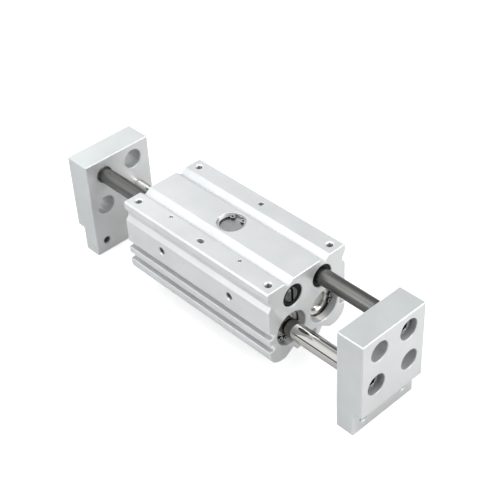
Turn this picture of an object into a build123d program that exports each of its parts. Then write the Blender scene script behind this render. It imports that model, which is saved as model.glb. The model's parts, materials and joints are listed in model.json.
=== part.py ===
"""Wide-opening parallel gripper: two pistons drive the fingers, and two racks on a pinion keep them in step.

Millimetres. +X runs along the strokes, +Y across, +Z up. The origin is the middle of the footprint, on the
plane that the two fingers stand on. The model is in the open position; each finger closes by stroke.
"""

import os
from math import acos, asin, cos, degrees, pi, radians, sin, tan

from build123d import *

# Housing
body_length = 109.4
body_width = 54.6
body_height = 48.8
top_above_finger = 0.8
plateau_width = 18.2
groove_depth = 2.75
groove_width = 6.9
groove_wall_width = 3.1
top_edge_chamfer = 0.8
notch_top = 4.4
notch_drop = 3.0
notch_floor = 2.0
notch_rise = 2.6
notch_depth = 1.9
barrel_radius = 8.4
barrel_flat = 2.6
bottom_valley_share = 0.56
bottom_valley_y = 10.2
foot_outer_y = 8.0
foot_inner_y = 5.6
foot_raise = 0.5
channel_share = 0.8
sensor_slot_width = 4.2
sensor_slot_wall = 1.5
upper_slot_above_rod = 3.3
lower_slot_below_rod = 4.9
end_chamfer = 0.3
bore_rim_chamfer = 0.3

# Fingers
finger_width = 44.3
finger_height = 62.4
finger_thickness = 16.4
finger_edge_chamfer = 0.4
finger_recess_height = 15.2
finger_recess_depth = 5.3
jaw_hole_spacing = 29.0
jaw_hole_z = 7.4
jaw_hole_diameter = 4.2
jaw_hole_mouth = 5.8
screw_pocket_diameter = 12.0
screw_head_recess = 2.8
clearance_hole_diameter = 11.5
socket_depth = 4.5

# Motion: the travel of each finger, and the gap that is left to the housing when closed
stroke = 40.0
closed_gap = 0.2

# Racks and pinion
module = 0.75
pinion_teeth = 18
pressure_angle = 20.0
backlash = 0.10
pinion_width = 7.0
rack_pitch_line = 3.55
rack_diameter = 9.0
rack_below_top = 10.6
rack_end_recess = 0.5
rack_end_chamfer = 0.9
rack_slot_width = 1.6
rack_slot_depth = 2.0
rack_neck_diameter = 8.0
rack_neck_length = 3.0
rack_collar_diameter = 10.0
rack_collar_length = 1.0
rack_spare_teeth = 2
rack_bore_clearance = 0.5
bush_diameter = 13.0
bush_length = 12.0
bush_recess = 0.8

# Pinion axle, washers, cover
axle_diameter = 4.0
axle_seat = 4.0
axle_in_cover = 2.5
washer_thickness = 0.8
washer_diameter = 10.0
pinion_tip_clearance = 0.5
cover_recess = 1.2

# Cylinders
cylinder_bore = 20.0
rod_diameter = 9.5
rod_spacing = 23.6
rod_below_rack = 20.7
rod_end_chamfer = 0.6
rod_tenon_diameter = 7.5
piston_stud_diameter = 6.0
piston_nut_across_flats = 10.0
piston_nut_height = 4.0
piston_nut_pocket = 13.0
nut_sink = 1.0
piston_clearance = 0.25
rod_cover_length = 20.0
head_cover_length = 12.0
end_circlip_recess = 3.4
bumper_thickness = 1.5
bumper_gap = 0.2
piston_ring_land = 3.0
seal_width = 2.2
seal_depth = 1.8
magnet_width = 3.0
magnet_depth = 2.4
wear_ring_width = 3.6
wear_ring_depth = 1.0
o_ring_section = 1.5
o_ring_from_face = 5.0
rod_seal_width = 2.4
rod_seal_depth = 2.2
rod_seal_from_face = 3.5
rod_cover_mouth = 13.0
rod_cover_mouth_depth = 1.0
head_pocket_diameter = 10.5
head_pocket_depth = 1.6
head_pocket_chamfer = 0.6
bumper_clearance = 0.5

# Circlips
circlip_thickness = 1.0
circlip_groove_depth = 0.7
circlip_band = 1.6
circlip_lug_radius = 1.5
circlip_hole_diameter = 1.3
cover_circlip_lug_spacing = 6.8
cover_circlip_opening = 99.0
end_circlip_lug_spacing = 3.6
rod_circlip_opening = -20.0
head_circlip_opening = 77.0

# Socket head cap screws
screw_diameter = 5.0
screw_head_diameter = 8.5
screw_head_height = 5.0
screw_hex = 4.0
screw_hex_depth = 2.5
screw_length = 12.0
screw_hole_spare = 2.0

# Mounting holes and air ports
mount_end_inset = 5.5
mount_side_inset = 5.8
tapped_hole_diameter = 3.3
tapped_hole_depth = 8.0
tapped_hole_mouth = 4.6
dowel_diameter = 3.0
dowel_depth = 4.0
dowel_side_inset = 6.0
dowel_slot_length = 4.4
port_x = 26.0
port_diameter = 4.2
port_mouth = 5.2
port_depth = 10.6
port_below_rack = 7.3
ball_plug_diameter = 2.0
ball_plug_side_inset = 8.8
ball_plug_recess = 0.3

# Fits: gaps on the radius
seat_gap = 0.02
running_gap = 0.05

# Heights and places that follow
body_top = finger_height + top_above_finger
body_bottom = body_top - body_height
body_end = body_length / 2
half_width = body_width / 2
rack_z = body_top - rack_below_top
rod_z = rack_z - rod_below_rack
rod_y = rod_spacing / 2
floor_wall = rod_z - cylinder_bore / 2 - body_bottom
sensor_slot_depth = half_width - rod_y - cylinder_bore / 2 - sensor_slot_wall
mount_x = body_end - mount_end_inset
mount_y = half_width - mount_side_inset
dowel_y = half_width - dowel_side_inset
ball_plug_y = half_width - ball_plug_side_inset
pinion_radius = module * pinion_teeth / 2
pinion_tip_radius = pinion_radius + module
pinion_root_radius = pinion_radius - 1.25 * module
rack_y = pinion_radius + rack_pitch_line
tooth_pitch = pi * module
finger_inner = body_end + closed_gap + stroke
finger_outer = finger_inner + finger_thickness
rack_bore_diameter = rack_diameter + 2 * rack_bore_clearance
chamber_diameter = 2 * (pinion_tip_radius + pinion_tip_clearance)
circlip_inner_face = end_circlip_recess + circlip_thickness
rod_cover_outer_x = body_end - circlip_inner_face
rod_cover_inner_x = rod_cover_outer_x - rod_cover_length
head_cover_outer_x = -body_end + circlip_inner_face
head_cover_inner_x = head_cover_outer_x + head_cover_length
piston_front_x = rod_cover_inner_x - bumper_thickness - bumper_gap
piston_back_x = head_cover_inner_x + bumper_thickness + bumper_gap + stroke
port_z = rack_z - port_below_rack
screw_seat_x = finger_outer - screw_head_recess - screw_head_height
pinion_top = rack_z + pinion_width / 2
pinion_bottom = rack_z - pinion_width / 2
chamber_floor = pinion_bottom - washer_thickness - 2 * running_gap
nut_pocket_depth = piston_nut_height + nut_sink
rod_cover_o_ring_x = rod_cover_outer_x - o_ring_from_face - o_ring_section
head_cover_o_ring_x = head_cover_outer_x + o_ring_from_face
# Grooves round the piston: distance from its front, width, depth
seal_groove = (piston_ring_land, seal_width, seal_depth)
magnet_groove = (2 * piston_ring_land + seal_width, magnet_width, magnet_depth)
wear_groove = (3 * piston_ring_land + seal_width + magnet_width, wear_ring_width, wear_ring_depth)
cover_top = body_top - cover_recess - circlip_thickness
cover_bottom = pinion_top + washer_thickness + 2 * running_gap

os.makedirs("parts", exist_ok=True)


def save(shape, node):
    """Writes one node."""
    export_step(shape, f"parts/{node}.step")


def bar(diameter, x_from, x_to, y=0.0, z=0.0):
    """Round bar along X."""
    middle = Pos((x_from + x_to) / 2, y, z)
    return middle * Rot(0, 90, 0) * Cylinder(diameter / 2, abs(x_to - x_from))


def post(diameter, z_from, z_to, x=0.0, y=0.0):
    """Round bar along Z."""
    return Pos(x, y, (z_from + z_to) / 2) * Cylinder(diameter / 2, abs(z_to - z_from))


def ring(outer, inner, x_from, x_to, y=0.0, z=0.0):
    """Plain ring along X."""
    return bar(outer, x_from, x_to, y, z) - bar(inner, x_from, x_to, y, z)


def turned(outline, y, z):
    """Body turned about X from an outline of (x, radius) points, then set at y, z."""
    face = make_face(Polyline(*outline, close=True))
    return Pos(0, y, z) * revolve(face, Axis.X)


def left(shape):
    """The left half of the gripper is the right half turned half a turn about Z."""
    return Rot(0, 0, 180) * shape


def circlip(bore, lug_spacing, opening_angle):
    """Internal circlip lying in XY, its back at z = 0, its gap towards opening_angle from +X."""
    outer = bore / 2 + circlip_groove_depth - seat_gap
    inner = bore / 2 - circlip_band
    lug_centre = bore / 2 - circlip_lug_radius - running_gap
    band = Circle(outer) - Circle(inner) - Pos(outer, 0) * Rectangle(2 * outer - inner, lug_spacing)
    lug_turn = degrees(asin(lug_spacing / 2 / lug_centre))
    lug_places = [Rot(0, 0, turn) * Pos(lug_centre, 0) for turn in (-lug_turn, lug_turn)]
    band += [place * Circle(circlip_lug_radius) for place in lug_places]
    band -= [place * Circle(circlip_hole_diameter / 2) for place in lug_places]
    return Rot(0, 0, opening_angle) * extrude(band, circlip_thickness)


def end_circlip(y, z, opening_angle):
    """Circlip in a cylinder bore at the right end of the housing."""
    clip = circlip(cylinder_bore, end_circlip_lug_spacing, opening_angle)
    return Pos(rod_cover_outer_x, y, z) * Rot(0, 90, 0) * clip


def housing_outline():
    """Cross-section of the extrusion, with Y across and Z up."""
    valley_z = body_bottom + bottom_valley_share * floor_wall
    channel_z = body_bottom + channel_share * floor_wall
    foot_z = body_bottom + foot_raise
    notch_z = body_top - notch_top
    groove_edge = plateau_width / 2
    strip_edge = groove_edge + groove_width
    lower = Polyline(
        (0, channel_z),
        (foot_inner_y, channel_z),
        (foot_inner_y, foot_z),
        (foot_outer_y, foot_z),
        (bottom_valley_y, valley_z),
        (half_width - barrel_radius - barrel_flat, body_bottom),
        (half_width - barrel_radius, body_bottom),
    )
    corner = RadiusArc(
        (half_width - barrel_radius, body_bottom),
        (half_width, body_bottom + barrel_radius),
        -barrel_radius,
    )
    upper = Polyline(
        (half_width, body_bottom + barrel_radius),
        (half_width, notch_z - notch_drop - notch_floor - notch_rise),
        (half_width - notch_depth, notch_z - notch_drop - notch_floor),
        (half_width - notch_depth, notch_z - notch_drop),
        (half_width, notch_z),
        (half_width, body_top - top_edge_chamfer),
        (half_width - top_edge_chamfer, body_top),
        (strip_edge, body_top),
        (strip_edge - groove_wall_width, body_top - groove_depth),
        (groove_edge, body_top),
        (0, body_top),
    )
    half = lower + corner + upper
    outline = make_face(half + mirror(half, Plane.YZ))
    for side in (-1, 1):
        for slot_z in (rod_z + upper_slot_above_rod, rod_z - lower_slot_below_rod):
            outline -= Pos(side * (half_width - sensor_slot_depth), slot_z) * sensor_slot(side)
    return outline


def sensor_slot(side):
    """Round-bottomed slot for a position sensor, from its bottom at the origin out to one side."""
    radius = sensor_slot_width / 2
    mouth = Pos(side * (radius + sensor_slot_depth / 2), 0) * Rectangle(sensor_slot_depth, sensor_slot_width)
    return mouth + Pos(side * radius, 0) * Circle(radius)


def countersunk(diameter, mouth, depth):
    """Cutter for a hole that goes down from z = 0, with a chamfered mouth."""
    rim = (mouth - diameter) / 2
    hole = Pos(0, 0, -depth / 2) * Cylinder(diameter / 2, depth)
    return hole + Pos(0, 0, -rim / 2) * Cone(diameter / 2, mouth / 2, rim)


def hole_rims(shape, end, smallest_diameter):
    """Edges of the round holes, from a diameter up, in the first or last face of a shape along X."""
    end_face = shape.faces().sort_by(Axis.X)[end]
    rims = [edge for wire in end_face.inner_wires() for edge in wire.edges()]
    return [rim for rim in rims if 2 * rim.radius > smallest_diameter]


def housing():
    """Extruded block with its rack bores, cylinder bores, pinion chamber, ports and mounting holes."""
    block = extrude(Plane.YZ * housing_outline(), body_end, both=True)
    end_faces = [block.faces().sort_by(Axis.X)[0], block.faces().sort_by(Axis.X)[-1]]
    end_edges = [edge for face in end_faces for edge in face.outer_wire().edges()]
    block = chamfer(end_edges, end_chamfer)
    bush_inner = body_end - bush_recess - bush_length
    for side in (-1, 1):
        block -= bar(rack_bore_diameter, -body_end, body_end, side * rack_y, rack_z)
        block -= bar(cylinder_bore, -body_end, body_end, side * rod_y, rod_z)
        for end in (-1, 1):
            block -= bar(bush_diameter, end * bush_inner, end * body_end, side * rack_y, rack_z)
            groove_diameter = cylinder_bore + 2 * circlip_groove_depth
            groove_x = end * (body_end - end_circlip_recess)
            block -= bar(groove_diameter, groove_x, groove_x - end * circlip_thickness, side * rod_y, rod_z)
    block -= post(chamber_diameter, chamber_floor, body_top)
    for end in (0, -1):
        block = chamfer(hole_rims(block, end, rack_bore_diameter), bore_rim_chamfer)
    groove_top = body_top - cover_recess
    block -= post(chamber_diameter + 2 * circlip_groove_depth, groove_top - circlip_thickness, groove_top)
    block -= post(axle_diameter + 2 * seat_gap, chamber_floor - axle_seat, chamber_floor)
    tapped = countersunk(tapped_hole_diameter, tapped_hole_mouth, tapped_hole_depth)
    for x in (-mount_x, mount_x):
        for y in (-mount_y, mount_y):
            block -= Pos(x, y, body_top) * tapped
    block -= post(dowel_diameter, body_top - dowel_depth, body_top, 0, dowel_y)
    slot = extrude(SlotOverall(dowel_slot_length, dowel_diameter), dowel_depth)
    block -= Pos(0, -dowel_y, body_top - dowel_depth) * slot
    port = countersunk(port_diameter, port_mouth, port_depth)
    for x in (-port_x, port_x):
        block -= Pos(x, -half_width, port_z) * Rot(90, 0, 0) * port
        block -= post(ball_plug_diameter, port_z, body_top, x, -ball_plug_y)
    return block


def finger():
    """Right finger plate, with its screw pockets, sockets, clearance holes and jaw holes."""
    plate = Pos((finger_inner + finger_outer) / 2, 0, finger_height / 2) * Box(
        finger_thickness, finger_width, finger_height
    )
    recess = Pos(finger_outer, 0, finger_recess_height / 2) * Box(
        2 * finger_recess_depth, finger_width, finger_recess_height
    )
    plate = chamfer((plate - recess).edges(), finger_edge_chamfer)
    for y, z, tenon in ((rack_y, rack_z, rack_neck_diameter), (-rod_y, rod_z, rod_tenon_diameter)):
        plate -= bar(screw_pocket_diameter, screw_seat_x, finger_outer, y, z)
        plate -= bar(screw_diameter + 2 * running_gap, finger_inner, finger_outer, y, z)
        plate -= bar(tenon + 2 * seat_gap, finger_inner, finger_inner + socket_depth, y, z)
    for y, z in ((-rack_y, rack_z), (rod_y, rod_z)):
        plate -= bar(clearance_hole_diameter, finger_inner, finger_outer, y, z)
    for end in (0, -1):
        plate = chamfer(hole_rims(plate, end, rack_collar_diameter), bore_rim_chamfer)
    foot_outer = finger_outer - finger_recess_depth
    jaw_hole = countersunk(jaw_hole_diameter, jaw_hole_mouth, (foot_outer - finger_inner) / 2)
    for side in (-1, 1):
        for x, turn in ((finger_inner, -90), (foot_outer, 90)):
            plate -= Pos(x, side * jaw_hole_spacing / 2, jaw_hole_z) * Rot(0, turn, 0) * jaw_hole
    return plate


def rack():
    """Right rack: a round bar with teeth towards the pinion, a slotted tip and a necked end in the finger."""
    tip_x = rack_end_recess - body_end
    collar_x = finger_inner - rack_collar_length
    neck_x = collar_x - rack_neck_length
    tenon_end_x = finger_inner + socket_depth
    profile = (
        (tip_x, 0),
        (tip_x, rack_diameter / 2 - rack_end_chamfer),
        (tip_x + rack_end_chamfer, rack_diameter / 2),
        (neck_x, rack_diameter / 2),
        (neck_x, rack_neck_diameter / 2),
        (collar_x, rack_neck_diameter / 2),
        (collar_x, rack_collar_diameter / 2),
        (finger_inner, rack_collar_diameter / 2),
        (finger_inner, rack_neck_diameter / 2),
        (tenon_end_x, rack_neck_diameter / 2),
        (tenon_end_x, 0),
    )
    shaft = turned(profile, rack_y, rack_z)
    shaft -= tooth_cutter()
    shaft -= Pos(tip_x, rack_y, rack_z) * Box(2 * rack_slot_depth, rack_slot_width, rack_diameter)
    return shaft - tapped_end(rack_y, rack_z)


def tooth_cutter():
    """Comb that leaves the rack's teeth: flanks at the pressure angle, a space over the pinion's middle."""
    slope = tan(radians(pressure_angle))
    tip_y = pinion_radius - module
    root_y = pinion_radius + 1.25 * module
    space = (tooth_pitch + backlash) / 2
    half_at_tip = space / 2 + module * slope
    half_at_root = space / 2 - 1.25 * module * slope
    first = -rack_spare_teeth
    last = int(stroke / tooth_pitch) + 1 + rack_spare_teeth
    comb = [((first - 0.5) * tooth_pitch, 0), ((first - 0.5) * tooth_pitch, tip_y)]
    for tooth in range(first, last + 1):
        x = tooth * tooth_pitch
        comb += [(x - half_at_tip, tip_y), (x - half_at_root, root_y)]
        comb += [(x + half_at_root, root_y), (x + half_at_tip, tip_y)]
    comb += [((last + 0.5) * tooth_pitch, tip_y), ((last + 0.5) * tooth_pitch, 0)]
    face = make_face(Polyline(*comb, close=True))
    return Pos(0, 0, rack_z) * extrude(face, rack_diameter, both=True)


def tapped_end(y, z):
    """Hole in the end of a rack or rod that takes the finger's screw."""
    depth = screw_length - (screw_seat_x - finger_inner) + screw_hole_spare
    return bar(screw_diameter + 2 * seat_gap, finger_inner - depth, finger_inner + socket_depth, y, z)


def pinion_tooth():
    """One involute tooth along +Y: radial root, flanks as arcs through three points of the involute."""
    base_radius = pinion_radius * cos(radians(pressure_angle))
    thickness = (tooth_pitch - backlash) / 2

    def half_angle(radius):
        """Half the tooth's angle at a radius."""
        here = acos(min(1.0, base_radius / radius))
        at_pitch = radians(pressure_angle)
        return thickness / (2 * pinion_radius) + (tan(at_pitch) - at_pitch) - (tan(here) - here)

    def flank_point(radius, side):
        """Point of a flank at a radius."""
        angle = side * half_angle(radius)
        return (radius * sin(angle), radius * cos(angle))

    foot_radius = max(base_radius, pinion_root_radius)
    flanks = []
    for side in (-1, 1):
        foot = flank_point(foot_radius, side)
        middle = flank_point((foot_radius + pinion_tip_radius) / 2, side)
        flanks.append(ThreePointArc(foot, middle, flank_point(pinion_tip_radius, side)))
    left_foot = flank_point(foot_radius, -1)
    right_foot = flank_point(foot_radius, 1)
    left_tip = flank_point(pinion_tip_radius, -1)
    right_tip = flank_point(pinion_tip_radius, 1)
    tip = ThreePointArc(left_tip, (0, pinion_tip_radius), right_tip)
    root = Polyline(left_foot, (left_foot[0], 0), (right_foot[0], 0), right_foot)
    return make_face(flanks[0] + flanks[1] + tip + root)


def pinion():
    """Pinion between the racks, with a running bore."""
    tooth = pinion_tooth()
    wheel = Circle(pinion_root_radius)
    wheel += [Rot(0, 0, 360 * index / pinion_teeth) * tooth for index in range(pinion_teeth)]
    wheel -= Circle(axle_diameter / 2 + running_gap)
    return Pos(0, 0, pinion_bottom) * extrude(wheel, pinion_width)


def washer(z_from):
    """Thrust washer over or under the pinion."""
    z_to = z_from + washer_thickness
    return post(washer_diameter, z_from, z_to) - post(axle_diameter + 2 * running_gap, z_from, z_to)


def pinion_cover():
    """Round plate that closes the pinion chamber and holds the axle's top."""
    plate = post(chamber_diameter - 2 * seat_gap, cover_bottom, cover_top)
    return plate - post(axle_diameter + 2 * seat_gap, cover_bottom, cover_bottom + axle_in_cover)


def bush(x_from, x_to, y):
    """Plain bush that guides a rack."""
    return ring(bush_diameter - 2 * seat_gap, rack_diameter + 2 * running_gap, x_from, x_to, y, rack_z)


def rod():
    """Right piston rod: a stud through the piston at one end, a tapped tenon in the finger at the other."""
    stud_end = piston_back_x + nut_pocket_depth - piston_nut_height
    profile = (
        (stud_end, 0),
        (stud_end, piston_stud_diameter / 2),
        (piston_front_x, piston_stud_diameter / 2),
        (piston_front_x, rod_diameter / 2),
        (finger_inner - rod_end_chamfer, rod_diameter / 2),
        (finger_inner, rod_diameter / 2 - rod_end_chamfer),
        (finger_inner, rod_tenon_diameter / 2),
        (finger_inner + socket_depth, rod_tenon_diameter / 2),
        (finger_inner + socket_depth, 0),
    )
    return turned(profile, -rod_y, rod_z) - tapped_end(-rod_y, rod_z)


def piston_groove(from_front, width, depth, fit):
    """Ring that fills a groove round the piston: the groove itself with no fit, its ring with one."""
    x_to = piston_front_x - from_front - fit
    outer = cylinder_bore - 2 * running_gap
    inner = cylinder_bore - 2 * piston_clearance - 2 * depth + 2 * fit
    return ring(outer, inner, x_to - width + 2 * fit, x_to, -rod_y, rod_z)


def piston():
    """Right piston, with grooves for its seal, magnet and wear ring, and a pocket for its nut."""
    body = bar(cylinder_bore - 2 * piston_clearance, piston_back_x, piston_front_x, -rod_y, rod_z)
    for from_front, width, depth in (seal_groove, magnet_groove, wear_groove):
        body -= piston_groove(from_front, width, depth, 0)
    body -= bar(piston_stud_diameter + 2 * seat_gap, piston_back_x, piston_front_x, -rod_y, rod_z)
    return body - bar(piston_nut_pocket, piston_back_x, piston_back_x + nut_pocket_depth, -rod_y, rod_z)


def piston_nut():
    """Hexagon nut on the rod's stud."""
    hexagon = RegularPolygon(piston_nut_across_flats / 2, 6, major_radius=False)
    nut = extrude(hexagon - Circle(piston_stud_diameter / 2 + seat_gap), piston_nut_height)
    return Pos(piston_back_x + nut_pocket_depth - piston_nut_height, -rod_y, rod_z) * Rot(0, 90, 0) * nut


def o_ring(x_from, gap):
    """O-ring round a cylinder cover: its groove with no gap, the ring itself with one."""
    outer = cylinder_bore - 2 * seat_gap
    inner = cylinder_bore - 2 * o_ring_section + 2 * gap
    return ring(outer, inner, x_from + gap, x_from + o_ring_section - gap, -rod_y, rod_z)


def rod_seal(gap):
    """Lip seal round the rod inside the rod cover: its groove with no gap, the ring itself with one."""
    x_to = rod_cover_outer_x - rod_seal_from_face - gap
    outer = rod_diameter + 2 * rod_seal_depth - 2 * gap
    return ring(outer, rod_diameter + 2 * running_gap, x_to - rod_seal_width + 2 * gap, x_to, -rod_y, rod_z)


def rod_cover():
    """Front cover of the right cylinder, which guides and seals the rod."""
    outer = cylinder_bore - 2 * seat_gap
    cover = ring(outer, rod_diameter + 2 * running_gap, rod_cover_inner_x, rod_cover_outer_x, -rod_y, rod_z)
    cover -= bar(rod_cover_mouth, rod_cover_outer_x - rod_cover_mouth_depth, rod_cover_outer_x, -rod_y, rod_z)
    return cover - o_ring(rod_cover_o_ring_x, 0) - rod_seal(0)


def head_cover():
    """Rear cover of the right cylinder, with a round pocket in its face."""
    cover = bar(cylinder_bore - 2 * seat_gap, head_cover_outer_x, head_cover_inner_x, -rod_y, rod_z)
    pocket_mouth = head_pocket_diameter + 2 * head_pocket_chamfer
    pocket = countersunk(head_pocket_diameter, pocket_mouth, head_pocket_depth)
    cover -= Pos(head_cover_outer_x, -rod_y, rod_z) * Rot(0, -90, 0) * pocket
    return cover - o_ring(head_cover_o_ring_x, 0)


def bumper(x_from, inner):
    """Rubber ring that stops the piston softly."""
    outer = cylinder_bore - 2 * bumper_clearance
    return ring(outer, inner, x_from, x_from + bumper_thickness, -rod_y, rod_z)


def socket_screw(y, z):
    """Socket head cap screw through the finger into a rack or rod."""
    head = bar(screw_head_diameter, screw_seat_x, screw_seat_x + screw_head_height, y, z)
    shank = bar(screw_diameter, screw_seat_x - screw_length, screw_seat_x, y, z)
    socket = extrude(RegularPolygon(screw_hex / 2, 6, major_radius=False), screw_hex_depth)
    socket_x = screw_seat_x + screw_head_height - screw_hex_depth
    return head + shank - Pos(socket_x, y, z) * Rot(0, 90, 0) * socket


def ball_plugs():
    """Steel balls that close the drilled air passages."""
    radius = ball_plug_diameter / 2 - seat_gap
    height = body_top - ball_plug_recess - radius
    return Compound([Pos(x, -ball_plug_y, height) * Sphere(radius) for x in (-port_x, port_x)])


save(housing(), "housing")
save(ball_plugs(), "ball_plugs")

save(pinion(), "pinion")
save(washer(pinion_top + running_gap), "upper_pinion_washer")
save(washer(chamber_floor + running_gap), "lower_pinion_washer")
save(post(axle_diameter, chamber_floor - axle_seat, cover_bottom + axle_in_cover), "pinion_axle")
save(pinion_cover(), "pinion_cover")
cover_circlip = circlip(chamber_diameter, cover_circlip_lug_spacing, cover_circlip_opening)
save(Pos(0, 0, cover_top) * cover_circlip, "pinion_circlip")

far_bush_x = -body_end + bush_recess
near_bush_x = body_end - bush_recess - bush_length
right_pieces = {
    "finger": finger(),
    "rack": rack(),
    "rack_near_bush": bush(near_bush_x, near_bush_x + bush_length, rack_y),
    "rack_far_bush": bush(far_bush_x, far_bush_x + bush_length, rack_y),
    "piston_rod": rod(),
    "piston": piston(),
    "piston_nut": piston_nut(),
    "piston_seal": piston_groove(*seal_groove, seat_gap),
    "magnet": piston_groove(*magnet_groove, seat_gap),
    "wear_ring": piston_groove(*wear_groove, seat_gap),
    "rod_cover": rod_cover(),
    "rod_seal": rod_seal(seat_gap),
    "rod_cover_o_ring": o_ring(rod_cover_o_ring_x, seat_gap),
    "rod_side_bumper": bumper(rod_cover_inner_x - bumper_thickness, rod_diameter + 2 * bumper_clearance),
    "rod_cover_circlip": end_circlip(-rod_y, rod_z, rod_circlip_opening),
    "head_cover": head_cover(),
    "head_cover_o_ring": o_ring(head_cover_o_ring_x, seat_gap),
    "head_side_bumper": bumper(head_cover_inner_x, piston_nut_pocket),
    "head_cover_circlip": left(end_circlip(rod_y, rod_z, head_circlip_opening)),
    "rack_screw": socket_screw(rack_y, rack_z),
    "rod_screw": socket_screw(-rod_y, rod_z),
}
for name, piece in right_pieces.items():
    save(piece, f"right_{name}")
    save(left(piece), f"left_{name}")
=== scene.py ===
"""Looks of the wide-opening parallel gripper, piece by piece in the order in which it is put together."""

import json
import math

import bmesh
import bpy
from mathutils import Matrix, Vector


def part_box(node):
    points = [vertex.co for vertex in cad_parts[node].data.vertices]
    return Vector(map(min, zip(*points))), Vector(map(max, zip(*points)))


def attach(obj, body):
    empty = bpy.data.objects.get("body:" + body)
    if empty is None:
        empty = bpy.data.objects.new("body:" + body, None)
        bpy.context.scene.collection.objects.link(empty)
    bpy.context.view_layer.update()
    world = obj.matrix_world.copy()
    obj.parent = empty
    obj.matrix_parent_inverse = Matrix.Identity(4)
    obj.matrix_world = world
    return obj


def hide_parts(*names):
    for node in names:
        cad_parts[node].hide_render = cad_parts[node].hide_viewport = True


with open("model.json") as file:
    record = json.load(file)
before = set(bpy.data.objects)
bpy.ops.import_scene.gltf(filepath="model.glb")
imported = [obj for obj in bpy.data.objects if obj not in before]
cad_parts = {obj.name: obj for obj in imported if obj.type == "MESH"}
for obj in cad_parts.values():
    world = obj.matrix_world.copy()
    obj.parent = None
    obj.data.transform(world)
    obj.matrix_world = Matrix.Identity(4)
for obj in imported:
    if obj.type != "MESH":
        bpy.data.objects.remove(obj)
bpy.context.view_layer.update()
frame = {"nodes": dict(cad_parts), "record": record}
nodes = frame["nodes"]
mounts = {mount["name"]: mount for mount in frame["record"]["mounts"]}


# Housing. One length of aluminium extrusion with its bores, ports and mounting holes, which carries all the
# other pieces. Its ends are milled, and the whole block is clear anodised to a milky, satin silver.

MM = 0.001
ANODISED_SILVER = (0.62, 0.63, 0.632)
ANODISED_SHADE = (0.56, 0.572, 0.575)
MILLED_SILVER = (0.74, 0.745, 0.745)
MILLED_SHADE = (0.67, 0.675, 0.675)
# Painted highlight for the edges, where a chamfer would catch the light
PAINTED_EDGE_HIGHLIGHT = (0.95, 0.955, 0.96)
# Painted shade for deep in holes and slots
PAINTED_HOLE_SHADE = (0.11, 0.11, 0.11)
DRAWN_ALONG_X = (0.03, 1.0, 1.0)
DRAWN_ROUGHNESS = (0.40, 0.48)
MILLED_ROUGHNESS = (0.32, 0.42)
CUTTER_SPACING = 0.35 * MM
CUTTER_CENTRE = (0.0, -0.045, 0.075)
EDGE_RADIUS = 0.40 * MM
SHELTER_REACH = 2.5 * MM
MARK_DEPTH = 0.02 * MM


def surface(name):
    """New material, with its node tree and its Principled shader."""
    material = bpy.data.materials.new(name)
    material.use_nodes = True
    return material, material.node_tree, material.node_tree.nodes["Principled BSDF"]


def add(tree, kind, settings=None, values=None):
    """Adds a node, with its settings by name and its input values by socket name or number."""
    node = tree.nodes.new(kind)
    for key, value in (settings or {}).items():
        setattr(node, key, value)
    for key, value in (values or {}).items():
        node.inputs[key].default_value = value
    return node


def group(name, inputs, outputs):
    """New shader node group. Returns it with its input and output nodes."""
    tree = bpy.data.node_groups.new(name, "ShaderNodeTree")
    for key, kind, value in inputs:
        socket = tree.interface.new_socket(key, in_out="INPUT", socket_type=f"NodeSocket{kind}")
        socket.default_value = value
    for key, kind in outputs:
        tree.interface.new_socket(key, in_out="OUTPUT", socket_type=f"NodeSocket{kind}")
    return tree, tree.nodes.new("NodeGroupInput"), tree.nodes.new("NodeGroupOutput")


def use_group(tree, shared, values=None):
    """Places a shared group in a material, with its input values by name."""
    return add(tree, "ShaderNodeGroup", {"node_tree": shared}, values)


# Broken edge: the normal that a tool's small chamfer gives to an edge, and a mask of that edge, which the
# anodised finishes use to paint a highlight there
broken_edge, given, result = group(
    "Broken edge",
    [("Radius", "Float", 0.0003)],
    [("Normal", "Vector"), ("Edge", "Float")],
)
rounded = add(broken_edge, "ShaderNodeBevel", {"samples": 6})
facing = add(broken_edge, "ShaderNodeNewGeometry")
agreement = add(broken_edge, "ShaderNodeVectorMath", {"operation": "DOT_PRODUCT"})
edge_range = add(broken_edge, "ShaderNodeMapRange", None, {"From Min": 0.995, "From Max": 0.85})
broken_edge.links.new(given.outputs["Radius"], rounded.inputs["Radius"])
broken_edge.links.new(rounded.outputs["Normal"], agreement.inputs[0])
broken_edge.links.new(facing.outputs["True Normal"], agreement.inputs[1])
broken_edge.links.new(agreement.outputs["Value"], edge_range.inputs["Value"])
broken_edge.links.new(rounded.outputs["Normal"], result.inputs["Normal"])
broken_edge.links.new(edge_range.outputs["Result"], result.inputs["Edge"])

# Tool marks: fine lines drawn out along one direction, with slower patches over them
tool_marks, given, result = group(
    "Tool marks",
    [("Stretch", "Vector", (1.0, 1.0, 1.0)), ("Patch Scale", "Float", 60.0)],
    [("Lines", "Float"), ("Patches", "Float")],
)
place = add(tool_marks, "ShaderNodeTexCoord")
stretch = add(tool_marks, "ShaderNodeVectorMath", {"operation": "MULTIPLY"})
lines = add(tool_marks, "ShaderNodeTexNoise", None, {"Scale": 1000.0, "Detail": 3.0, "Roughness": 0.6})
patches = add(tool_marks, "ShaderNodeTexNoise", None, {"Detail": 4.0, "Roughness": 0.55})
tool_marks.links.new(place.outputs["Object"], stretch.inputs[0])
tool_marks.links.new(given.outputs["Stretch"], stretch.inputs[1])
tool_marks.links.new(stretch.outputs["Vector"], lines.inputs["Vector"])
tool_marks.links.new(place.outputs["Object"], patches.inputs["Vector"])
tool_marks.links.new(given.outputs["Patch Scale"], patches.inputs["Scale"])
tool_marks.links.new(lines.outputs["Fac"], result.inputs["Lines"])
tool_marks.links.new(patches.outputs["Fac"], result.inputs["Patches"])

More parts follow.
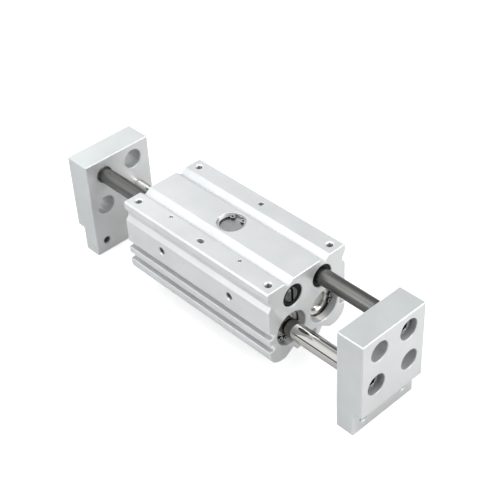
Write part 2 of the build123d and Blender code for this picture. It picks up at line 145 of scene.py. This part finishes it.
# Cutter rings: the fine rings that a milling or turning tool leaves round its axis, 0 to 1
cutter_rings, given, result = group(
    "Cutter rings",
    [
        ("Centre", "Vector", (0.0, 0.0, 0.0)),
        ("Across", "Vector", (0.0, 1.0, 1.0)),
        ("Spacing", "Float", 0.0003),
    ],
    [("Rings", "Float")],
)
place = add(cutter_rings, "ShaderNodeTexCoord")
from_axis = add(cutter_rings, "ShaderNodeVectorMath", {"operation": "SUBTRACT"})
flattened = add(cutter_rings, "ShaderNodeVectorMath", {"operation": "MULTIPLY"})
distance = add(cutter_rings, "ShaderNodeVectorMath", {"operation": "LENGTH"})
turns = add(cutter_rings, "ShaderNodeMath", {"operation": "DIVIDE"})
uneven = add(cutter_rings, "ShaderNodeTexNoise", {"noise_dimensions": "1D"}, {"Scale": 1.0, "Detail": 2.0})
cutter_rings.links.new(place.outputs["Object"], from_axis.inputs[0])
cutter_rings.links.new(given.outputs["Centre"], from_axis.inputs[1])
cutter_rings.links.new(from_axis.outputs["Vector"], flattened.inputs[0])
cutter_rings.links.new(given.outputs["Across"], flattened.inputs[1])
cutter_rings.links.new(flattened.outputs["Vector"], distance.inputs[0])
cutter_rings.links.new(distance.outputs["Value"], turns.inputs[0])
cutter_rings.links.new(given.outputs["Spacing"], turns.inputs[1])
cutter_rings.links.new(turns.outputs["Value"], uneven.inputs["W"])
cutter_rings.links.new(uneven.outputs["Fac"], result.inputs["Rings"])

# Sheltered places: 1 where a surface lies open, falling towards 0 deep in its own holes and slots, where the
# finishes paint light and shade
sheltered, given, result = group("Sheltered places", [("Reach", "Float", 0.004)], [("Open", "Float")])
hidden = add(sheltered, "ShaderNodeAmbientOcclusion", {"samples": 8, "only_local": True})
opening = add(sheltered, "ShaderNodeMapRange", None, {"From Min": 0.1, "From Max": 0.75})
sheltered.links.new(given.outputs["Reach"], hidden.inputs["Distance"])
sheltered.links.new(hidden.outputs["AO"], opening.inputs["Value"])
sheltered.links.new(opening.outputs["Result"], result.inputs["Open"])


def blend_colours(tree, factor, low, high):
    """Colour between two colours or colour outputs, by a 0 to 1 output."""
    mix = add(tree, "ShaderNodeMix", {"data_type": "RGBA"})
    for socket, colour in (("A", low), ("B", high)):
        if isinstance(colour, tuple):
            mix.inputs[socket].default_value = (*colour, 1.0)
        else:
            tree.links.new(colour, mix.inputs[socket])
    tree.links.new(factor, mix.inputs["Factor"])
    return mix.outputs["Result"]


def between(tree, factor, low, high):
    """Value between two, by an output that mostly lies between 0.3 and 0.7."""
    spread = add(tree, "ShaderNodeMapRange", None,
                 {"From Min": 0.3, "From Max": 0.7, "To Min": low, "To Max": high})
    tree.links.new(factor, spread.inputs["Value"])
    return spread.outputs["Result"]


def choose(tree, mask, without, inside):
    """One of two values, by a mask."""
    mix = add(tree, "ShaderNodeMix", {"data_type": "FLOAT"})
    tree.links.new(mask, mix.inputs["Factor"])
    tree.links.new(without, mix.inputs["A"])
    tree.links.new(inside, mix.inputs["B"])
    return mix.outputs["Result"]


def relief(tree, height, under, depth):
    """Normal of a fine relief over the normal under it."""
    bump = add(tree, "ShaderNodeBump", None, {"Strength": 0.3, "Distance": depth})
    tree.links.new(height, bump.inputs["Height"])
    tree.links.new(under, bump.inputs["Normal"])
    return bump.outputs["Normal"]


def facing_along(tree, axis):
    """1 on faces square to an axis, X, Y or Z, and 0 on those that look across it."""
    facing = add(tree, "ShaderNodeNewGeometry")
    parts = add(tree, "ShaderNodeSeparateXYZ")
    along = add(tree, "ShaderNodeMath", {"operation": "ABSOLUTE"})
    step = add(tree, "ShaderNodeMapRange", None, {"From Min": 0.90, "From Max": 0.97})
    tree.links.new(facing.outputs["True Normal"], parts.inputs["Vector"])
    tree.links.new(parts.outputs[axis], along.inputs[0])
    tree.links.new(along.outputs["Value"], step.inputs["Value"])
    return step.outputs["Result"]


def anodised(name, drawn, milled, painted_hole_colour, drawn_stretch, cutter_centre):
    """Satin anodised aluminium with drawn lines on its flanks, cutter rings on its ends and a painted
    highlight on its edges.

    The flanks and the ends each take a pair of colours, and the last colour is painted deep in holes and
    slots as their light and shade.
    """
    material, tree, shader = surface(name)
    marks = use_group(tree, tool_marks, {"Stretch": drawn_stretch, "Patch Scale": 45.0})
    rings = use_group(tree, cutter_rings, {"Centre": cutter_centre, "Spacing": CUTTER_SPACING})
    edges = use_group(tree, broken_edge, {"Radius": EDGE_RADIUS})
    cut = facing_along(tree, "X")
    cloud = between(tree, marks.outputs["Patches"], 0.0, 1.0)
    body_colour = blend_colours(tree, cloud, *drawn)
    face_colour = blend_colours(tree, cloud, *milled)
    colour = blend_colours(tree, cut, body_colour, face_colour)
    # Painted light and shade deep in holes and slots: dark in the housing, a little lighter in the plates
    shelter = use_group(tree, sheltered, {"Reach": SHELTER_REACH})
    colour = blend_colours(tree, shelter.outputs["Open"], painted_hole_colour, colour)
    # Painted highlight along the edges
    colour = blend_colours(tree, edges.outputs["Edge"], colour, PAINTED_EDGE_HIGHLIGHT)
    tree.links.new(colour, shader.inputs["Base Color"])
    drawn_roughness = between(tree, marks.outputs["Lines"], *DRAWN_ROUGHNESS)
    milled_roughness = between(tree, rings.outputs["Rings"], *MILLED_ROUGHNESS)
    tree.links.new(choose(tree, cut, drawn_roughness, milled_roughness), shader.inputs["Roughness"])
    height = choose(tree, cut, marks.outputs["Lines"], rings.outputs["Rings"])
    normal = relief(tree, height, edges.outputs["Normal"], MARK_DEPTH)
    tree.links.new(normal, shader.inputs["Normal"])
    shader.inputs["Metallic"].default_value = 0.6
    return material


def dress(node, material):
    """Gives a CAD node its finish, and keeps its mesh."""
    slots = nodes[node].material_slots
    if not slots:
        nodes[node].data.materials.append(None)
        slots = nodes[node].material_slots
    for slot in slots:
        slot.link = "OBJECT"
        slot.material = material


housing_finish = anodised(
    "Anodised extrusion", (ANODISED_SHADE, ANODISED_SILVER), (MILLED_SHADE, MILLED_SILVER), PAINTED_HOLE_SHADE,
    DRAWN_ALONG_X, CUTTER_CENTRE,
)
dress("housing", housing_finish)


# Threads in the housing. Four M4 holes in the corners of its top and two M5 air ports in its near side, cut
# with a tap, so that each wall carries a fine spiral ridge.

M4_PITCH = 0.7 * MM
M5_PITCH = 0.8 * MM
THREAD_STEPS = 20
RIDGE_HEIGHT = 0.2 * MM
RIDGE_ROOT = 0.04 * MM
HALF_RIDGE_PITCHES = 0.4
MOUTH_DEPTH = 0.65 * MM
TAPPED_DEPTH = 8.0 * MM
# The ridges are painted dark, as the shade deep in the tapped holes
THREAD_PAINTED_SHADE_DARK = (0.08, 0.08, 0.08)
THREAD_PAINTED_SHADE_LIGHT = (0.16, 0.16, 0.16)
THREAD_ROUGHNESS = (0.25, 0.40)


def cut_thread(mesh, hole_radius, pitch, depth, hole_place):
    """Adds the spiral ridge of a tapped hole that goes down from z = 0, and moves it to its place."""
    turns = depth / pitch
    steps = round(THREAD_STEPS * turns)
    root, crest = hole_radius + RIDGE_ROOT, hole_radius - RIDGE_HEIGHT
    half_ridge = HALF_RIDGE_PITCHES * pitch
    triangle = ((root, 0, -half_ridge), (crest, 0, 0), (root, 0, half_ridge))
    corners = [mesh.verts.new(point) for point in triangle]
    edges = [mesh.edges.new((corners[index - 1], corners[index])) for index in range(3)]
    made = bmesh.ops.spin(mesh, geom=corners + edges, cent=(0, 0, 0), axis=(0, 0, 1), angle=math.tau * turns,
                          dvec=(0, 0, -pitch / THREAD_STEPS), steps=steps)
    last = [item for item in made["geom_last"] if isinstance(item, bmesh.types.BMEdge)]
    bmesh.ops.holes_fill(mesh, edges=edges + last, sides=3)
    ridge = [vert for vert in mesh.verts if not vert.tag]
    bmesh.ops.transform(mesh, matrix=hole_place, verts=ridge)
    for vert in ridge:
        vert.tag = True


def finished(name, mesh, materials, body):
    """Makes a piece of a bmesh, sets it on its body and gives it its materials."""
    bmesh.ops.recalc_face_normals(mesh, faces=mesh.faces)
    data = bpy.data.meshes.new(name)
    mesh.to_mesh(data)
    mesh.free()
    piece = bpy.data.objects.new(name, data)
    bpy.context.scene.collection.objects.link(piece)
    for material in materials:
        data.materials.append(material)
    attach(piece, body)
    return piece


# Tapped aluminium painted dark as shade
painted_shade_thread_finish, tree, shader = surface("Tapped aluminium, painted shade")
marks = use_group(tree, tool_marks, {"Patch Scale": 400.0})
thread_painted_shade = blend_colours(tree, marks.outputs["Patches"], THREAD_PAINTED_SHADE_DARK, THREAD_PAINTED_SHADE_LIGHT)
tree.links.new(thread_painted_shade, shader.inputs["Base Color"])
tree.links.new(between(tree, marks.outputs["Lines"], *THREAD_ROUGHNESS), shader.inputs["Roughness"])
shader.inputs["Metallic"].default_value = 1.0

housing_low, housing_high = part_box("housing")
top_bolts = mounts["housing_top_bolts"]["dims"]
threads = bmesh.new()
for x in (-top_bolts["spacing_x_mm"] / 2, top_bolts["spacing_x_mm"] / 2):
    for y in (-top_bolts["spacing_y_mm"] / 2, top_bolts["spacing_y_mm"] / 2):
        hole_place = Matrix.Translation((x * MM, y * MM, housing_high.z - MOUTH_DEPTH))
        cut_thread(threads, top_bolts["hole_r_mm"] * MM, M4_PITCH, TAPPED_DEPTH - 2 * MOUTH_DEPTH, hole_place)
finished("top_hole_threads", threads, [painted_shade_thread_finish], "housing")

threads = bmesh.new()
for side in ("right", "left"):
    port = mounts[f"{side}_air_port"]
    x, _, z = port["pos_m"]
    mouth = Vector((x, housing_low.y + MOUTH_DEPTH, z))
    hole_place = Matrix.Translation(mouth) @ Matrix.Rotation(math.radians(90), 4, "X")
    cut_thread(threads, port["dims"]["r_mm"] * MM, M5_PITCH, TAPPED_DEPTH, hole_place)
finished("air_port_threads", threads, [painted_shade_thread_finish], "housing")


# Ball plugs. Two hardened steel balls that close the drilled air passages of the near top strip. They are
# pressed in until they lie just under the surface.

EVEN = (1.0, 1.0, 1.0)


def plain_finish(name, dark, light, smooth, rough, stretch=EVEN, depth=0.02 * MM, edge_radius=0.3 * MM,
                 metallic=1.0):
    """Finish of one metal, rubber or resin, with tool marks and broken edges.

    Its colour goes from dark to light in patches, and its roughness from smooth to rough along the marks.
    """
    material, tree, shader = surface(name)
    marks = use_group(tree, tool_marks, {"Stretch": stretch})
    edges = use_group(tree, broken_edge, {"Radius": edge_radius})
    colour = blend_colours(tree, between(tree, marks.outputs["Patches"], 0.0, 1.0), dark, light)
    normal = relief(tree, marks.outputs["Lines"], edges.outputs["Normal"], depth)
    tree.links.new(colour, shader.inputs["Base Color"])
    tree.links.new(between(tree, marks.outputs["Lines"], smooth, rough), shader.inputs["Roughness"])
    tree.links.new(normal, shader.inputs["Normal"])
    shader.inputs["Metallic"].default_value = metallic
    return material


ball_finish = plain_finish(
    "Bearing steel", dark=(0.48, 0.48, 0.48), light=(0.55, 0.55, 0.55), smooth=0.15, rough=0.25,
    depth=0.004 * MM,
)
dress("ball_plugs", ball_finish)


# Pinion. A hobbed and hardened steel gear under the plateau that couples the two racks. It turns on a ground
# axle, between two thrust washers.

GROUND_ALONG_Y = (1.0, 0.1, 1.0)

gear_finish = plain_finish(
    "Gear steel", dark=(0.30, 0.30, 0.30), light=(0.38, 0.38, 0.38), smooth=0.25, rough=0.35,
    edge_radius=0.1 * MM,
)
washer_finish = plain_finish(
    "Ground steel", dark=(0.46, 0.46, 0.46), light=(0.54, 0.54, 0.54), smooth=0.20, rough=0.30,
    stretch=GROUND_ALONG_Y,
)
dress("pinion", gear_finish)
dress("pinion_axle", ball_finish)
dress("upper_pinion_washer", washer_finish)
dress("lower_pinion_washer", washer_finish)


# Pinion cover. A turned and plated steel plate that closes the round hole of the plateau, over the pinion. A
# circlip holds it down.

# Painted shade for corners and small recesses
PAINTED_CORNER_SHADE = (0.03, 0.03, 0.03)
CORNER_REACH = 1.2 * MM
TURNED_EDGE = 0.2 * MM
ACROSS_Z = (1.0, 1.0, 0.0)


def turned_metal(name, dark, light, smooth, rough, across, centre, spacing=0.12 * MM, depth=0.03 * MM):
    """Bare metal with the rings of a turned face round an axis, and painted shade in its corners."""
    material, tree, shader = surface(name)
    rings = use_group(tree, cutter_rings, {"Centre": centre, "Across": across, "Spacing": spacing})
    marks = use_group(tree, tool_marks, {"Patch Scale": 150.0})
    edges = use_group(tree, broken_edge, {"Radius": TURNED_EDGE})
    shelter = use_group(tree, sheltered, {"Reach": CORNER_REACH})
    colour = blend_colours(tree, between(tree, marks.outputs["Patches"], 0.0, 1.0), dark, light)
    # Painted shade in corners and small recesses
    colour = blend_colours(tree, shelter.outputs["Open"], PAINTED_CORNER_SHADE, colour)
    normal = relief(tree, rings.outputs["Rings"], edges.outputs["Normal"], depth)
    tree.links.new(colour, shader.inputs["Base Color"])
    tree.links.new(between(tree, rings.outputs["Rings"], smooth, rough), shader.inputs["Roughness"])
    tree.links.new(normal, shader.inputs["Normal"])
    shader.inputs["Metallic"].default_value = 1.0
    return material


cover_plate_finish = turned_metal(
    "Plated cover", dark=(0.34, 0.34, 0.34), light=(0.44, 0.44, 0.44), smooth=0.28, rough=0.40,
    across=ACROSS_Z, centre=(0.0, 0.0, 0.0),
)
dress("pinion_cover", cover_plate_finish)


# Circlips. Stamped from spring steel, tumbled and left bright. One is sprung into a groove over the pinion
# cover and one in front of each cylinder cover.

# Painted shade for the clips' edge faces
PAINTED_EDGE_SHADE = (0.03, 0.03, 0.03)


def stamped_steel(name, axis):
    """Spring steel with bright flat faces square to an axis and painted shade on its edge faces."""
    material = plain_finish(
        name, dark=(0.50, 0.495, 0.48), light=(0.60, 0.595, 0.58), smooth=0.24, rough=0.36,
        edge_radius=0.1 * MM,
    )
    tree = material.node_tree
    base = tree.nodes["Principled BSDF"].inputs["Base Color"]
    flat = facing_along(tree, axis)
    # Painted shade on the faces that look across the axis
    tree.links.new(blend_colours(tree, flat, PAINTED_EDGE_SHADE, base.links[0].from_socket), base)
    return material


dress("pinion_circlip", stamped_steel("Spring steel, cover clip", "Z"))
end_clip_finish = stamped_steel("Spring steel, end clips", "X")
for side in ("right", "left"):
    dress(f"{side}_rod_cover_circlip", end_clip_finish)
    dress(f"{side}_head_cover_circlip", end_clip_finish)


# Rack bushes and racks. The racks are round bars of hardened steel, ground and left dark, with teeth cut in
# them for the pinion. Each slides in two black, dry-running bushes that are pressed into the housing.

ROUND_THE_BAR = (1.0, 0.05, 0.05)

bush_finish = plain_finish(
    "Dry bearing metal", dark=(0.012, 0.012, 0.012), light=(0.03, 0.03, 0.03), smooth=0.40, rough=0.55
)
rack_finish = plain_finish(
    "Dark ground steel", dark=(0.122, 0.120, 0.116), light=(0.144, 0.142, 0.138), smooth=0.35, rough=0.39,
    stretch=ROUND_THE_BAR, depth=0.002 * MM,
)
for side in ("right", "left"):
    dress(f"{side}_rack_near_bush", bush_finish)
    dress(f"{side}_rack_far_bush", bush_finish)
    dress(f"{side}_rack", rack_finish)


# Pistons and rods. Hard chromed, polished rods carry turned aluminium pistons, with a nut, a seal, a
# magnetic ring and a wear ring each.

ACROSS_X = (0.0, 1.0, 1.0)

rod_finish = plain_finish(
    "Hard chrome", dark=(0.46, 0.45, 0.43), light=(0.50, 0.49, 0.47), smooth=0.05, rough=0.08,
    stretch=ROUND_THE_BAR, depth=0.0005 * MM,
)
nut_finish = plain_finish(
    "Plated nut", dark=(0.40, 0.40, 0.38), light=(0.50, 0.50, 0.48), smooth=0.25, rough=0.38
)
rubber_finish = plain_finish(
    "Nitrile rubber", dark=(0.02, 0.02, 0.02), light=(0.035, 0.035, 0.035), smooth=0.50, rough=0.65,
    metallic=0.0,
)
resin_finish = plain_finish(
    "Bearing resin", dark=(0.72, 0.68, 0.56), light=(0.80, 0.76, 0.64), smooth=0.45, rough=0.55,
    metallic=0.0,
)
for side in ("right", "left"):
    low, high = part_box(f"{side}_piston")
    piston_finish = turned_metal(
        f"Turned piston, {side}", dark=(0.62, 0.63, 0.64), light=(0.70, 0.71, 0.72), smooth=0.22, rough=0.34,
        across=ACROSS_X, centre=tuple((low + high) / 2),
    )
    dress(f"{side}_piston", piston_finish)
    dress(f"{side}_piston_rod", rod_finish)
    dress(f"{side}_piston_nut", nut_finish)
    dress(f"{side}_piston_seal", rubber_finish)
    dress(f"{side}_magnet", rubber_finish)
    dress(f"{side}_wear_ring", resin_finish)


# Cylinder covers. Turned from aluminium and nickel plated, with an O-ring each, a rod seal in the front one,
# and a rubber ring that stops the piston softly.

for side in ("right", "left"):
    for cover in ("rod_cover", "head_cover"):
        low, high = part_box(f"{side}_{cover}")
        cover_finish = turned_metal(
            f"Nickel plate, {side} {cover}", dark=(0.62, 0.61, 0.58), light=(0.70, 0.69, 0.66), smooth=0.22,
            rough=0.32, across=ACROSS_X, centre=tuple((low + high) / 2), spacing=0.2 * MM, depth=0.015 * MM,
        )
        dress(f"{side}_{cover}", cover_finish)
        dress(f"{side}_{cover}_o_ring", rubber_finish)
    for ring in ("rod_seal", "rod_side_bumper", "head_side_bumper"):
        dress(f"{side}_{ring}", rubber_finish)


# Finger plates. Two plates of one shape, set half a turn to each other. They are milled from aluminium bar
# and clear anodised like the housing, a little greyer. Each foot has two tapped M5 holes for a jaw.

PLATE_SILVER = (0.55, 0.57, 0.572)
PLATE_SHADE = (0.50, 0.52, 0.522)
PLATE_FACE = (0.69, 0.697, 0.697)
PLATE_FACE_SHADE = (0.64, 0.647, 0.647)
# Painted light deep in the plates' holes and slots, a little lighter than their drawn walls
PLATE_PAINTED_HOLE_LIGHT = (0.64, 0.64, 0.64)
DRAWN_ALONG_Z = (1.0, 1.0, 0.04)
PLATE_CUTTER_CENTRE = (0.0, 0.03, 0.10)
JAW_MOUTH_DEPTH = 0.8 * MM

plate_finish = anodised(
    "Anodised plate", (PLATE_SHADE, PLATE_SILVER), (PLATE_FACE_SHADE, PLATE_FACE), PLATE_PAINTED_HOLE_LIGHT,
    DRAWN_ALONG_Z, PLATE_CUTTER_CENTRE,
)
for side, outwards in (("right", 1), ("left", -1)):
    dress(f"{side}_finger", plate_finish)
    jaw_bolts = mounts[f"{side}_finger_jaw_bolts"]
    foot_x = mounts[f"{side}_finger_jaw_face"]["pos_m"][0]
    plate_low, plate_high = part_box(f"{side}_finger")
    back_x = plate_low.x if outwards > 0 else plate_high.x
    threads = bmesh.new()
    for y in (-jaw_bolts["dims"]["spacing_x_mm"] / 2, jaw_bolts["dims"]["spacing_x_mm"] / 2):
        mouth = Vector((foot_x - outwards * JAW_MOUTH_DEPTH, y * MM, jaw_bolts["pos_m"][2]))
        hole_place = Matrix.Translation(mouth) @ Matrix.Rotation(math.radians(90 * outwards), 4, "Y")
        depth = abs(foot_x - back_x) - 2 * JAW_MOUTH_DEPTH
        cut_thread(threads, jaw_bolts["dims"]["hole_r_mm"] * MM, M5_PITCH, depth, hole_place)
    finished(f"{side}_jaw_hole_threads", threads, [painted_shade_thread_finish], f"{side}_finger")


# Socket head cap screws. Two M5 screws hold each plate, one in the end of its rack and one in the end of its
# rod. They are forged from steel, with rolled threads and knurled heads, and the broached hexagon is painted
# black as the shade deep in it.

HEAD_DIAMETER = 8.5 * MM
HEAD_HEIGHT = 5.0 * MM
SHANK_DIAMETER = 5.0 * MM
HEXAGON = 4.0 * MM
HEXAGON_DEPTH = 2.5 * MM
HEXAGON_FLARE = 1.22
DRILL_POINT = 0.4 * MM
HEAD_SEGMENTS = 96
KNURL_DEPTH = 0.10 * MM
TOP_CHAMFER = 0.45 * MM
SMALL_CHAMFER = 0.3 * MM
CLOSE_ENOUGH = 0.01 * MM
SOCKET_FACES_WITHIN = 0.55 * HEXAGON

head_finish = plain_finish(
    "Screw steel", dark=(0.26, 0.26, 0.26), light=(0.34, 0.34, 0.34), smooth=0.22, rough=0.34,
    edge_radius=0.15 * MM,
)
# Painted shade for the hexagon socket
socket_painted_shade = plain_finish(
    "Socket, painted shade", dark=(0.02, 0.02, 0.02), light=(0.05, 0.05, 0.05), smooth=0.35, rough=0.5
)


def cap_screw(length):
    """Cap screw along +Z with its seat at z = 0 and its shank below."""
    mesh = bmesh.new()
    rim, shank, mouth = HEAD_DIAMETER / 2, SHANK_DIAMETER / 2, HEXAGON / 2 * HEXAGON_FLARE
    profile = (
        (mouth, HEAD_HEIGHT),
        (rim - TOP_CHAMFER, HEAD_HEIGHT),
        (rim, HEAD_HEIGHT - TOP_CHAMFER),
        (rim, SMALL_CHAMFER),
        (rim - SMALL_CHAMFER, 0.0),
        (shank, 0.0),
        (shank, SMALL_CHAMFER - length),
        (shank - SMALL_CHAMFER, -length),
    )
    corners = [mesh.verts.new((radius, 0.0, z)) for radius, z in profile]
    edges = [mesh.edges.new(pair) for pair in zip(corners, corners[1:])]
    bmesh.ops.spin(mesh, geom=corners + edges, cent=(0, 0, 0), axis=(0, 0, 1), angle=math.tau,
                   steps=HEAD_SEGMENTS, use_merge=True)
    top_ring = [edge for edge in mesh.edges if edge.is_boundary and edge.verts[0].co.z > 0]
    bottom_ring = [edge for edge in mesh.edges if edge.is_boundary and edge.verts[0].co.z < 0]
    bmesh.ops.holes_fill(mesh, edges=bottom_ring, sides=0)

    # Knurl: every second column of the head's side is drawn in a little
    grip = [vert for vert in mesh.verts if abs(vert.co.xy.length - rim) < CLOSE_ENOUGH]
    column = math.tau / HEAD_SEGMENTS
    valleys = [vert for vert in grip if round(math.atan2(vert.co.y, vert.co.x) / column) % 2]
    inwards = 1 - KNURL_DEPTH / rim
    bmesh.ops.scale(mesh, vec=(inwards, inwards, 1.0), verts=valleys)

    # Socket: a flared mouth down to a hexagon, straight walls, and the drill's shallow cone at its bottom
    corner_radius = HEXAGON / 2 / math.cos(math.radians(30))
    hexagon = bmesh.ops.create_circle(mesh, segments=6, radius=corner_radius)["verts"]
    sides = list({edge for vert in hexagon for edge in vert.link_edges})
    bmesh.ops.translate(mesh, vec=(0, 0, HEAD_HEIGHT - SMALL_CHAMFER), verts=hexagon)
    bmesh.ops.subdivide_edges(mesh, edges=sides, cuts=HEAD_SEGMENTS // 6 - 1)
    flats = [edge for edge in mesh.edges if not edge.link_faces]
    bmesh.ops.bridge_loops(mesh, edges=flats + top_ring)
    walls = bmesh.ops.extrude_edge_only(mesh, edges=flats)["geom"]
    lowered = [item for item in walls if isinstance(item, bmesh.types.BMVert)]
    bmesh.ops.translate(mesh, vec=(0, 0, SMALL_CHAMFER - HEXAGON_DEPTH), verts=lowered)
    open_edges = [edge for edge in mesh.edges if edge.is_boundary]
    bottom = bmesh.ops.holes_fill(mesh, edges=open_edges, sides=0)["faces"]
    bmesh.ops.poke(mesh, faces=bottom, offset=-DRILL_POINT)
    below_mouth = HEAD_HEIGHT - SMALL_CHAMFER - CLOSE_ENOUGH
    # The socket's faces take the second material, painted black as shade
    for face in mesh.faces:
        centre = face.calc_center_median()
        face.material_index = int(0 < centre.z < below_mouth and centre.xy.length < SOCKET_FACES_WITHIN)
    return mesh


for side, outwards in (("right", 1), ("left", -1)):
    for held in ("rack", "rod"):
        node = f"{side}_{held}_screw"
        low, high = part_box(node)
        centre = (low + high) / 2
        head_top = high.x if outwards > 0 else low.x
        screw = cap_screw(high.x - low.x - HEAD_HEIGHT)
        seat = Vector((head_top - outwards * HEAD_HEIGHT, centre.y, centre.z))
        turn = Matrix.Rotation(math.radians(90 * outwards), 4, "Y")
        bmesh.ops.transform(screw, matrix=Matrix.Translation(seat) @ turn, verts=screw.verts)
        materials = [head_finish, socket_painted_shade]
        piece = finished(f"{side}_{held}_cap_screw", screw, materials, f"{side}_finger")
        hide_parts(node)


# Studio. A pale floor that glows towards the camera as a light table does, soft lamps in a white tent, and
# the camera at the photograph's angle.

GRIPPER_MIDDLE = Vector((0, 0, 0.03))
FLOOR_REACH = 4.0
LIGHT_TABLE = 0.55
FLOOR_DARK = (0.60, 0.60, 0.60)
FLOOR_LIGHT = (0.62, 0.62, 0.62)

floor_mesh = bmesh.new()
bmesh.ops.create_grid(floor_mesh, x_segments=2, y_segments=2, size=FLOOR_REACH)
floor_data = bpy.data.meshes.new("studio_floor")
floor_mesh.to_mesh(floor_data)
floor_mesh.free()
floor = bpy.data.objects.new("studio_floor", floor_data)
bpy.context.scene.collection.objects.link(floor)
floor_finish, tree, shader = surface("Pale floor")
patches = add(tree, "ShaderNodeTexNoise", None, {"Scale": 3.0, "Detail": 2.0})
floor_colour = blend_colours(tree, patches.outputs["Fac"], FLOOR_DARK, FLOOR_LIGHT)
tree.links.new(floor_colour, shader.inputs["Base Color"])
shader.inputs["Roughness"].default_value = 0.9
shader.inputs["Specular IOR Level"].default_value = 0.1
seen = add(tree, "ShaderNodeLightPath")
lit_from_below = add(tree, "ShaderNodeMath", {"operation": "MULTIPLY"}, {1: LIGHT_TABLE})
tree.links.new(seen.outputs["Is Camera Ray"], lit_from_below.inputs[0])
tree.links.new(lit_from_below.outputs["Value"], shader.inputs["Emission Strength"])
shader.inputs["Emission Color"].default_value = (1.0, 1.0, 1.0, 1.0)
floor.data.materials.append(floor_finish)


def direction(azimuth, elevation):
    """Unit vector towards an azimuth and elevation in radians."""
    level_part = math.cos(elevation)
    return Vector((level_part * math.cos(azimuth), level_part * math.sin(azimuth), math.sin(elevation)))


def soft_lamp(name, azimuth, elevation, distance, width, height, power):
    """Rectangular soft lamp that points at the gripper from an azimuth and elevation in degrees."""
    back = direction(math.radians(azimuth), math.radians(elevation))
    lamp = bpy.data.lights.new(name, "AREA")
    lamp.shape = "RECTANGLE"
    lamp.size, lamp.size_y = width, height
    lamp.energy = power
    holder = bpy.data.objects.new(name, lamp)
    holder.location = GRIPPER_MIDDLE + back * distance
    holder.rotation_euler = (-back).to_track_quat("-Z", "Y").to_euler()
    bpy.context.scene.collection.objects.link(holder)


# Name, azimuth and elevation in degrees, distance, width and height in metres, power in watts
for lamp_line in (
    ("main_lamp", 250, 80, 1.4, 0.8, 0.8, 9.5),
    ("front_lamp", 258, 30, 1.4, 0.6, 0.6, 6.4),
    ("back_lamp", 38, 36, 1.3, 0.6, 0.5, 7.0),
    ("left_back_lamp", 160, 26, 1.3, 0.5, 0.35, 2.0),
    ("end_lamp", 5, 36, 1.3, 0.6, 0.6, 4.2),
    ("streak_lamp", 141, 46, 1.3, 0.10, 0.6, 0.2),
):
    soft_lamp(*lamp_line)


def eased(tree, value, start, end, low, high):
    """Output that goes softly from low to high while a value goes from start to end."""
    step = add(tree, "ShaderNodeMapRange", {"interpolation_type": "SMOOTHSTEP"},
               {"From Min": start, "From Max": end, "To Min": low, "To Max": high})
    tree.links.new(value, step.inputs["Value"])
    return step.outputs["Result"]


# The tent round the gripper: evenly pale, brighter towards the key side, with a dark gap there over the
# floor. Edges and hearts are cosines of the angle to the key's direction, top and foot are heights.
KEY_AZIMUTH, KEY_ELEVATION = math.radians(230), math.radians(36)
TENT_LIGHT, KEY_LIGHT = 0.50, 1.0
TENT_COLOUR = (0.97, 0.985, 1.0, 1.0)
GLOW_EDGE, GLOW_HEART = 0.62, 0.96
GAP_EDGE, GAP_HEART = 0.2, 0.6
GAP_TOP, GAP_FOOT = 0.27, 0.13

world = bpy.data.worlds.new("Studio")
world.use_nodes = True
tent = world.node_tree
gaze = add(tent, "ShaderNodeTexCoord")
height = add(tent, "ShaderNodeSeparateXYZ")
nearness = add(tent, "ShaderNodeVectorMath", {"operation": "DOT_PRODUCT"},
               {1: direction(KEY_AZIMUTH, KEY_ELEVATION)})
tent.links.new(gaze.outputs["Generated"], height.inputs["Vector"])
tent.links.new(gaze.outputs["Generated"], nearness.inputs[0])
glow = eased(tent, nearness.outputs["Value"], GLOW_EDGE, GLOW_HEART, TENT_LIGHT, TENT_LIGHT + KEY_LIGHT)
key_side = eased(tent, nearness.outputs["Value"], GAP_EDGE, GAP_HEART, 0.0, 1.0)
low_down = eased(tent, height.outputs["Z"], GAP_TOP, GAP_FOOT, 0.0, 1.0)
gap = add(tent, "ShaderNodeMath", {"operation": "MULTIPLY"})
left_light = add(tent, "ShaderNodeMath", {"operation": "SUBTRACT"}, {0: 1.0})
light = add(tent, "ShaderNodeMath", {"operation": "MULTIPLY"})
tent.links.new(key_side, gap.inputs[0])
tent.links.new(low_down, gap.inputs[1])
tent.links.new(gap.outputs["Value"], left_light.inputs[1])
tent.links.new(glow, light.inputs[0])
tent.links.new(left_light.outputs["Value"], light.inputs[1])
tent.links.new(light.outputs["Value"], tent.nodes["Background"].inputs["Strength"])
tent.nodes["Background"].inputs["Color"].default_value = TENT_COLOUR
bpy.context.scene.world = world
bpy.context.scene.view_settings.view_transform = "Standard"

# Camera: place, heading, tilt, roll and focal length were fitted to points of the photograph. The focal
# length and the sensor's width are in millimetres.
CAMERA_PLACE = Vector((368.24, -315.93, 438.66)) * MM
HEADING, TILT, ROLL = math.radians(138.330), math.radians(-39.131), math.radians(-3.087)
LENS, SENSOR = 85.66, 36.0

forward = direction(HEADING, TILT)
level = Vector((math.sin(HEADING), -math.cos(HEADING), 0.0))
upright = level.cross(forward)
right = math.cos(ROLL) * level + math.sin(ROLL) * upright
up = math.cos(ROLL) * upright - math.sin(ROLL) * level
camera = bpy.data.objects.new("photo_camera", bpy.data.cameras.new("photo_camera"))
camera.data.sensor_width = SENSOR
camera.data.lens = LENS
camera.data.clip_start, camera.data.clip_end = 0.01, 20.0
camera.matrix_world = Matrix((
    (right.x, up.x, -forward.x, CAMERA_PLACE.x),
    (right.y, up.y, -forward.y, CAMERA_PLACE.y),
    (right.z, up.z, -forward.z, CAMERA_PLACE.z),
    (0.0, 0.0, 0.0, 1.0),
))
bpy.context.scene.collection.objects.link(camera)
bpy.context.scene.camera = camera
